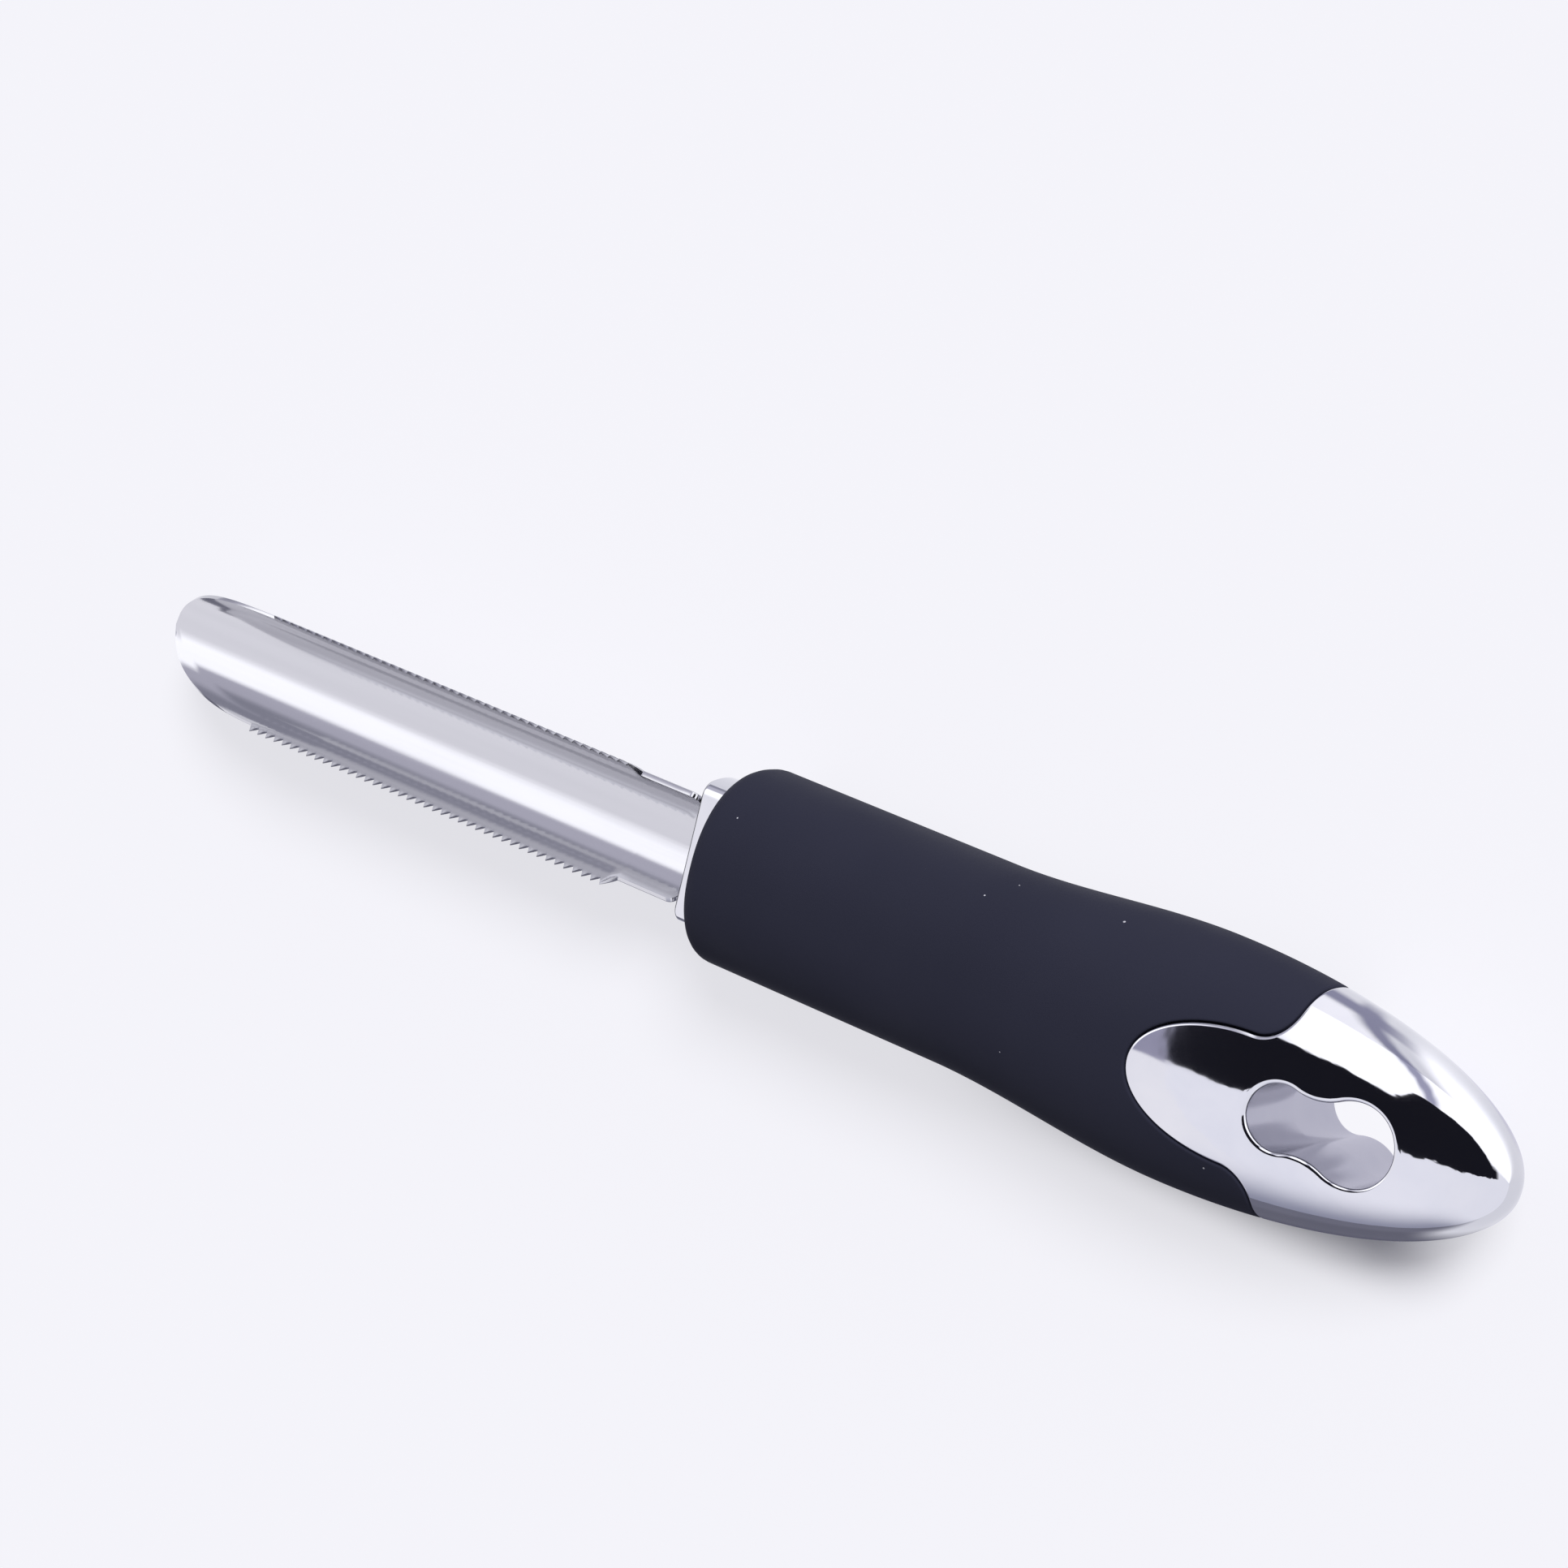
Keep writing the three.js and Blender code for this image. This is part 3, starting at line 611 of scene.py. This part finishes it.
def cap_face():
    """Quarter of the cap's outer face with its half of the hole: straight plan lines from the hole's rounded
    edge to the joint's rim or the cap's side, closer towards the side, then the rounded edge and the drafted
    hole wall."""
    rim_x, rim_share = saddle_rim(-CAP_LIP, 0).T
    rim = np.stack([rim_x, rim_share * half_height(rim_x)], axis=1)
    reach = HANDLE_LENGTH - BULGE
    begin = np.arcsin((rim_x[-1] - BULGE) / reach)
    side_x = BULGE + reach * np.sin(np.linspace(begin, QUARTER, SIDE_STEPS + 1)[1:])
    side = np.stack([side_x, half_height(side_x)], axis=1)
    side[-1, 1] = 0
    outer = np.vstack([rim, side])
    joint_share = np.linspace(0, JOINT_SHARE, RIM_STEPS + 1)
    share = np.concatenate([joint_share, np.linspace(JOINT_SHARE, 1, SIDE_STEPS + 1)[1:]])
    inner = hole_outline(HOLE_EDGE, share)
    away = 1 - np.linspace(1, 0, FACE_STEPS + 1)[:, None, None] ** 2
    face = lifted(inner + (outer - inner) * away)[::-1]
    wall_grow = HOLE_EDGE - HOLE_ROUND
    rows_down = []
    for angle in np.linspace(0, QUARTER, HOLE_ROUND_POINTS)[1:]:
        point = lifted(hole_outline(wall_grow + HOLE_ROUND * (1 - np.sin(angle)), share))
        point[:, 2] -= HOLE_ROUND * (1 - np.cos(angle))
        rows_down.append(point)
    edge_z = rows_down[-1][:, 2]
    for part in WALL_PARTS:
        plan = hole_outline(wall_grow - HOLE_DRAFT * (1 - part), share)
        rows_down.append(np.column_stack([plan, edge_z * part]))
    return np.concatenate([face, np.array(rows_down)])


def cap_front():
    """Quarter of the cap's side of the joint: the rounded lip, the wall down to the tongue's underside, the
    underside back to the pocket's end, and that end down to the middle plane."""
    sweep = np.linspace(0, QUARTER, CORNER_POINTS)
    lip_back = -CAP_LIP * (1 - np.sin(sweep))
    lip_depth = CAP_LIP * (1 - np.cos(sweep))
    rims = [saddle_rim(grow, depth) for grow, depth in zip(lip_back, lip_depth)]
    chains = [on_handle(*rim.T, depth) for rim, depth in zip(rims, lip_depth)]
    x, share = rims[-1].T
    chains += [on_handle(x, share, depth) for depth in np.linspace(CAP_LIP, GRIP_WALL, WALL_POINTS)[1:]]
    pocket = on_handle(np.maximum(x, POCKET_END), share, GRIP_WALL)
    return np.array([*chains, pocket, pocket * (1, 1, 0)])


cap_points = []
cap_faces = []
for patch in (cap_face(), cap_front()):
    rows, columns = patch.shape[:2]
    for mirror in ((1, 1, 1), (1, -1, 1), (1, 1, -1), (1, -1, -1)):
        cap_faces += grid_quads(rows, columns, start=sum(map(len, cap_points)))
        cap_points.append((patch * mirror).reshape(-1, 3))
cap = make_piece("end_cap_fine", np.vstack(cap_points), cap_faces, "end_cap", crease=50)

# Cap's finish: the same plating, duller on the wall of the hole, which no polishing wheel reaches. Each limit
# of the wall says where the dullness is gone and where it is full.
cap_chrome, tree, shader = chrome_finish("chrome_cap")
place = add_node(tree, "ShaderNodeTexCoord").outputs["Object"]
axes = add_node(tree, "ShaderNodeSeparateXYZ", {"Vector": place})
faces_to = add_node(tree, "ShaderNodeNewGeometry").outputs["Normal"]
upright = add_node(tree, "ShaderNodeSeparateXYZ", {"Vector": faces_to}).outputs["Z"]
hole_rear = TOOL_ORIGIN[0] + (HOLE_FRONT + HOLE_FRONT_RADIUS + HOLE_SPACING + HOLE_REAR_RADIUS) * MM
wall_limits = (
    (upright, WALL_UPRIGHT),
    (axes.outputs["Y"], [share * HOLE_REAR_RADIUS * MM for share in WALL_ACROSS]),
    (axes.outputs["X"], [hole_rear + past * MM for past in WALL_PAST_REAR]))
dull = WALL_ROUGHNESS
for value, (gone, full) in wall_limits:
    size = add_node(tree, "ShaderNodeMath", {0: value}, operation="ABSOLUTE")
    within = add_node(tree, "ShaderNodeMapRange", {
        "Value": size.outputs[0], "From Min": gone, "From Max": full})
    product = add_node(tree, "ShaderNodeMath", {0: dull, 1: within.outputs["Result"]}, operation="MULTIPLY")
    dull = product.outputs[0]
polished = shader.inputs["Roughness"].links[0].from_socket
rough = add_node(tree, "ShaderNodeMath", {0: polished, 1: dull}, operation="ADD")
tree.links.new(rough.outputs[0], shader.inputs["Roughness"])
cap.data.materials.append(cap_chrome)

# Floor: a plain pale table that keeps the tool's shadow. Seen directly, most of its light is even, which
# makes the shadow pale, except close beside the cap. The patch that shows through the hole has even light
# only, a painted light in the cap's shadow. A mirror shows painted reflections instead: glowing pools, grey
# strips and shade. Limits are metres, widths slopes from a foot.
BACKDROP = (0.925, 0.92, 0.97)
FLOOR_COLOUR = (0.9, 0.897, 0.945)
FLOOR_REACH = 8
EVEN_SHARE = 0.75
MIRROR_SHARE = 0.9
TABLE_MIRRORED = (0.97, 0.97, 1.03)
GLOW = (1.36, 1.35, 1.42)
GLOW_FAR = (0.03, 0.05)
GLOW_WIDTH = (-0.8, -0.5, -0.1, -0.05)
STRIP = (0.3, 0.3, 0.44)
STRIP_FOOT_RIGHT = 0.083
STRIP_FOOT_NEAR = 0.02
STRIP_LEAN = 0.02
STRIP_FAR = (0.014, 0.024)
STRIP_WIDTH = (-0.07, -0.02, 0.015, 0.085)
LEAST_FAR = 0.02
POOL = (1.8, 1.8, 1.85)
POOL_FAR = (0.01, 0.034)
POOL_WIDTH = (0.12, 0.3)
LINE_FAR = (0.02, 0.026, 0.032, 0.042)
LINE_WIDTH = (-1.3, -1, 0.02, 0.25)
SHADE = (0.14, 0.14, 0.2)
SHADE_FOOT_RIGHT = 0.08
SHADE_NEAR = (0.02, 0.04)
SHADE_WIDTH = (0.2, 0.7)
LEAST_NEAR = 0.01
EDGE_SHADE = (0.1, 0.1, 0.15)
EDGE_NEAR = (0.009, 0.0125, 0.06, 0.12)
EDGE_RIGHT = (0.045, 0.07, 0.097, 0.112)
UNDERSIDE = (0.74, 0.73, 0.85)
UNDERSIDE_FAR = (-0.0125, -0.009, 0.008, 0.012)
UNDERSIDE_RIGHT = (0.06, 0.07, 0.105, 0.115)
CONTACT_NEAR = (-0.012, -0.004, 0.0155, 0.0245)
CONTACT_RIGHT = (0.015, 0.076, 0.09, 0.107)
SEEN_THROUGH_FAR = (-0.006, -0.0055, -0.0004, 0.0006)
SEEN_THROUGH_RIGHT = (0.0792, 0.0802, 0.0902, 0.0906)
floor_mesh = bpy.data.meshes.new("floor")
floor_corners = [(x * FLOOR_REACH, y * FLOOR_REACH, 0) for x, y in ((-1, -1), (1, -1), (1, 1), (-1, 1))]
floor_mesh.from_pydata(floor_corners, [], [(0, 1, 2, 3)])
floor = bpy.data.objects.new("floor", floor_mesh)
bpy.context.scene.collection.objects.link(floor)
table, tree, shader = new_material("pale_table", FLOOR_COLOUR, roughness=0.9, metallic=0)
shader.inputs["Specular IOR Level"].default_value = 0


def calc(operation, *values):
    """Result of one math node of the tree in hand."""
    return add_node(tree, "ShaderNodeMath", dict(enumerate(values)), operation=operation).outputs[0]


def both(first, second):
    """Product of two masks, which is where both hold."""
    return calc("MULTIPLY", first, second)


def outside(mask):
    """What a mask leaves of 1."""
    return calc("SUBTRACT", 1, mask)


def slope(run, reach, least):
    """Run for each part of reach, where the reach counts as no less than a least value."""
    return calc("DIVIDE", run, calc("MAXIMUM", reach, least))


def rising(value, low, high):
    """Smooth step of a value from 0 at low to 1 at high."""
    return add_node(tree, "ShaderNodeMapRange", {
        "Value": value, "From Min": low, "From Max": high}, interpolation_type="SMOOTHSTEP").outputs["Result"]


def band(value, begin, full, fade, end):
    """Smooth band of a value: 0 before its begin, 1 from full to fade, 0 past its end."""
    return both(rising(value, begin, full), outside(rising(value, fade, end)))


def tinted(factor, first, second):
    """Colour mixed from the first to the second by a factor."""
    links = {"Factor": factor}
    for side, colour in (("A", first), ("B", second)):
        links[side] = colour if isinstance(colour, bpy.types.NodeSocket) else (*colour, 1)
    return add_node(tree, "ShaderNodeMix", links, data_type="RGBA").outputs["Result"]


def layered(colour, layers):
    """Colour painted over by each layer in turn, a layer being a mask and its colour."""
    for mask, tint in layers:
        colour = tinted(mask, colour, tint)
    return colour


place = add_node(tree, "ShaderNodeTexCoord").outputs["Object"]
axes = add_node(tree, "ShaderNodeSeparateXYZ", {"Vector": place})
right = axes.outputs["X"]
far = axes.outputs["Y"]
near = calc("MULTIPLY", far, -1)
bearing = slope(calc("SUBTRACT", right, STRIP_FOOT_RIGHT), calc("ADD", far, STRIP_FOOT_NEAR), LEAST_FAR)
past_strip = calc("SUBTRACT", bearing, STRIP_LEAN)
sideways = slope(calc("SUBTRACT", right, SHADE_FOOT_RIGHT), near, LEAST_NEAR)
# Painted reflections: colours that the table shows only in mirrors, its pools of light brighter than white
mirrored = layered(TABLE_MIRRORED, (
    (both(rising(far, *GLOW_FAR), band(past_strip, *GLOW_WIDTH)), GLOW),
    (both(rising(far, *STRIP_FAR), band(past_strip, *STRIP_WIDTH)), STRIP),
    (both(rising(far, *POOL_FAR), rising(past_strip, *POOL_WIDTH)), POOL),
    (both(band(far, *LINE_FAR), band(past_strip, *LINE_WIDTH)), STRIP),
    (both(rising(near, *SHADE_NEAR), outside(rising(sideways, *SHADE_WIDTH))), SHADE),
    (both(band(near, *EDGE_NEAR), band(right, *EDGE_RIGHT)), EDGE_SHADE),
    (both(band(far, *UNDERSIDE_FAR), band(right, *UNDERSIDE_RIGHT)), UNDERSIDE)))
contact = both(band(near, *CONTACT_NEAR), band(right, *CONTACT_RIGHT))
# Painted light: the patch seen through the hole is given even light only, where the cap's shadow lies
seen_through = both(band(far, *SEEN_THROUGH_FAR), band(right, *SEEN_THROUGH_RIGHT))
lit_share = calc("MAXIMUM", calc("MULTIPLY", EVEN_SHARE, outside(contact)), seen_through)
path = add_node(tree, "ShaderNodeLightPath")
seen_share = calc("MULTIPLY", path.outputs["Is Camera Ray"], lit_share)
mirror_share = calc("MULTIPLY", path.outputs["Is Glossy Ray"], MIRROR_SHARE)
even_colour = tinted(path.outputs["Is Glossy Ray"], BACKDROP, mirrored)
even = add_node(tree, "ShaderNodeEmission", {"Color": even_colour, "Strength": 1})
mixed = add_node(tree, "ShaderNodeMixShader", {
    "Fac": calc("ADD", seen_share, mirror_share), 1: shader.outputs["BSDF"], 2: even.outputs["Emission"]})
tree.links.new(mixed.outputs["Shader"], tree.nodes["Material Output"].inputs["Surface"])
floor.data.materials.append(table)

# Studio: surroundings that light the tool mostly from the far side. What the metal mirrors is a small studio:
# a dark room behind the camera, a white softbox on the far side, a grey strip of wall below it, and pale
# paper all round. Along and across are slopes from straight up, to the butt and to the far side.
AMBIENT_NEAR = 0.1
AMBIENT_FAR = 0.56
AMBIENT_TINT = (0.95, 0.95, 1)
AMBIENT_TURN = (-0.6, 0.6)
LEAST_RISE = 0.03
LEAST_LEVEL = 0.05
WOBBLE_SCALE = 15
WOBBLE_MIDDLE = 0.5
WOBBLE_WIDTH = 0.2
DARK_ROOM = (0.012, 0.012, 0.018)
DARK_ALONG = (-0.493, -0.487, 1.7, 2.3)
TABLE_EDGE_TILT = 0.1
TABLE_EDGE_NEAR = 0.155
TABLE_EDGE_BLUR = 0.005
SOFTBOX = (1.6, 1.6, 1.65)
SOFTBOX_EDGE = 0.7
SOFTBOX_RISE = 0.75
SOFTBOX_RISE_ALONG = (0.05, 0.3)
SOFTBOX_FALL = 0.9
SOFTBOX_FALL_ALONG = (0.8, 1.6)
SOFTBOX_BEARING = (-0.55, -0.35)
SOFTBOX_BLUR = 0.02
BUTT_BLUR = 0.16
BUTT_BLUR_ALONG = (0.6, 1.8)
WALL = (0.48, 0.48, 0.64)
WALL_LEAN = 0.45
WALL_HEIGHT = (0.52, 0.66)
WALL_FAR = (0.3, 0.5)
PAPER_LOW = (0.38, 0.39, 0.5)
PAPER_HIGH = (1.12, 1.12, 1.21)
PAPER_HEIGHT = (0, 0.72)
PAPER_BUTT = (1.1, 1.1, 1.18)
PAPER_BUTT_END = (0.15, 0.5)
FRONT_LIGHT = (1.14, 1.13, 1.19)
FRONT_GREY = (0.66, 0.65, 0.76)
FRONT_GREY_ACROSS = (0.75, 1.15)
FRONT_LOW = (0.36, 0.36, 0.44)
FRONT_LOW_FAR = (0.2, 0.5)
FRONT_LOW_HEIGHT = (0.15, 0.35)
WINDOW = (1.75, 1.75, 1.8)
WINDOW_ACROSS = (-0.2, 0.15, 0.75, 1.15)
HAZE = (0.42, 0.41, 0.55)
HAZE_ACROSS = (-0.28, -0.22)
HAZE_ALONG = (-0.64, -0.56)
NEAR_SIDE_BEARING = (-0.6, -0.3)
world = bpy.data.worlds.new("studio")
bpy.context.scene.world = world
world.use_nodes = True
world.cycles.sampling_method = "NONE"
tree = world.node_tree
towards = add_node(tree, "ShaderNodeTexCoord").outputs["Generated"]
axes = add_node(tree, "ShaderNodeSeparateXYZ", {"Vector": towards})
to_butt, to_far, height = (axes.outputs[axis] for axis in "XYZ")
cloud = add_node(tree, "ShaderNodeTexNoise", {"Vector": towards, "Scale": WOBBLE_SCALE, "Detail": 4})
wobble = calc("MULTIPLY", calc("SUBTRACT", cloud.outputs["Fac"], WOBBLE_MIDDLE), WOBBLE_WIDTH)
along = slope(to_butt, height, LEAST_RISE)
across = calc("ADD", slope(to_far, height, LEAST_RISE), wobble)
bearing = slope(to_butt, to_far, LEAST_LEVEL)
table_edge = calc("SUBTRACT", calc("MULTIPLY", along, TABLE_EDGE_TILT), TABLE_EDGE_NEAR)
above_table = rising(calc("SUBTRACT", across, table_edge), -TABLE_EDGE_BLUR, TABLE_EDGE_BLUR)
softbox_rise = calc("MULTIPLY", rising(along, *SOFTBOX_RISE_ALONG), SOFTBOX_RISE)
softbox_fall = calc("MULTIPLY", rising(along, *SOFTBOX_FALL_ALONG), SOFTBOX_FALL)
softbox_edge = calc("ADD", SOFTBOX_EDGE, calc("SUBTRACT", softbox_rise, softbox_fall))
edge_blur = calc("ADD", SOFTBOX_BLUR, calc("MULTIPLY", rising(along, *BUTT_BLUR_ALONG), BUTT_BLUR))
above_dark = rising(calc("SUBTRACT", across, softbox_edge), calc("MULTIPLY", edge_blur, -1), edge_blur)
in_softbox = both(above_dark, rising(bearing, *SOFTBOX_BEARING))
in_dark_room = both(both(above_table, band(along, *DARK_ALONG)), outside(above_dark))
past_strip = calc("SUBTRACT", bearing, calc("ADD", calc("MULTIPLY", height, WALL_LEAN), STRIP_LEAN))
wall_strip = both(band(past_strip, *STRIP_WIDTH), outside(rising(height, *WALL_HEIGHT)))
near_bearing = slope(to_butt, calc("MULTIPLY", to_far, -1), LEAST_LEVEL)
past_front = calc("MAXIMUM", rising(along, *DARK_ALONG[:2]), rising(near_bearing, *NEAR_SIDE_BEARING))
paper = layered(PAPER_LOW, (
    (rising(height, *PAPER_HEIGHT), PAPER_HIGH),
    (rising(to_butt, *PAPER_BUTT_END), PAPER_BUTT)))
mirrored = layered(FRONT_LIGHT, (
    (rising(across, *FRONT_GREY_ACROSS), FRONT_GREY),
    (both(rising(to_far, *FRONT_LOW_FAR), outside(rising(height, *FRONT_LOW_HEIGHT))), FRONT_LOW),
    (band(across, *WINDOW_ACROSS), WINDOW),
    (both(rising(across, *HAZE_ACROSS), rising(along, *HAZE_ALONG)), HAZE),
    (past_front, paper),
    (in_softbox, SOFTBOX),
    (both(wall_strip, rising(to_far, *WALL_FAR)), WALL),
    (in_dark_room, DARK_ROOM)))
dim, bright = (tuple(level * share for share in AMBIENT_TINT) for level in (AMBIENT_NEAR, AMBIENT_FAR))
ambient = tinted(rising(to_far, *AMBIENT_TURN), dim, bright)
path = add_node(tree, "ShaderNodeLightPath")
seen = layered(ambient, (
    (path.outputs["Is Glossy Ray"], mirrored),
    (path.outputs["Is Camera Ray"], BACKDROP)))
tree.links.new(seen, tree.nodes["Background"].inputs["Color"])

# Key light: a wide soft lamp from the upper side of the picture, so that the shadow falls below the handle
KEY_FROM = (0.4, 0.6, 0.7)
KEY_STRENGTH = 2.9
KEY_SPREAD_DEGREES = 22
key_data = bpy.data.lights.new("key", "SUN")
key_data.energy = KEY_STRENGTH
key_data.angle = np.radians(KEY_SPREAD_DEGREES)
key = bpy.data.objects.new("key", key_data)
key.rotation_mode = "QUATERNION"
key.rotation_quaternion = Vector(KEY_FROM).to_track_quat("Z", "Y")
key.visible_glossy = False
bpy.context.scene.collection.objects.link(key)

# Camera: the photograph's view, found by fitting the tool's outline; given in the tool's directions
CAMERA_RIGHT = np.array([0.7766, 0.2339, -0.5850])
CAMERA_BACK = np.array([0.5438, 0.2199, 0.8099])
CAMERA_EYE = np.array([333.8, 143.4, 482.8])
FOCAL_PIXELS = 5599.5
IMAGE_PIXELS = 1932
SENSOR_WIDTH = 36
CLIP_START = 0.01
camera_data = bpy.data.cameras.new("camera")
camera_data.sensor_width = SENSOR_WIDTH
camera_data.lens = SENSOR_WIDTH * FOCAL_PIXELS / IMAGE_PIXELS
camera_data.clip_start = CLIP_START
camera = bpy.data.objects.new("camera", camera_data)
camera_up = np.cross(CAMERA_BACK, CAMERA_RIGHT)
camera_up /= np.linalg.norm(camera_up)
camera_right = np.cross(camera_up, CAMERA_BACK)
camera_right /= np.linalg.norm(camera_right)
pose = np.eye(4)
pose[:3, 0] = camera_right
pose[:3, 1] = camera_up
pose[:3, 2] = CAMERA_BACK / np.linalg.norm(CAMERA_BACK)
pose[:3, 3] = TOOL_ORIGIN + CAMERA_EYE * MM
camera.matrix_world = Matrix(pose.tolist())
bpy.context.scene.collection.objects.link(camera)
bpy.context.scene.camera = camera
bpy.context.scene.view_settings.view_transform = "Standard"
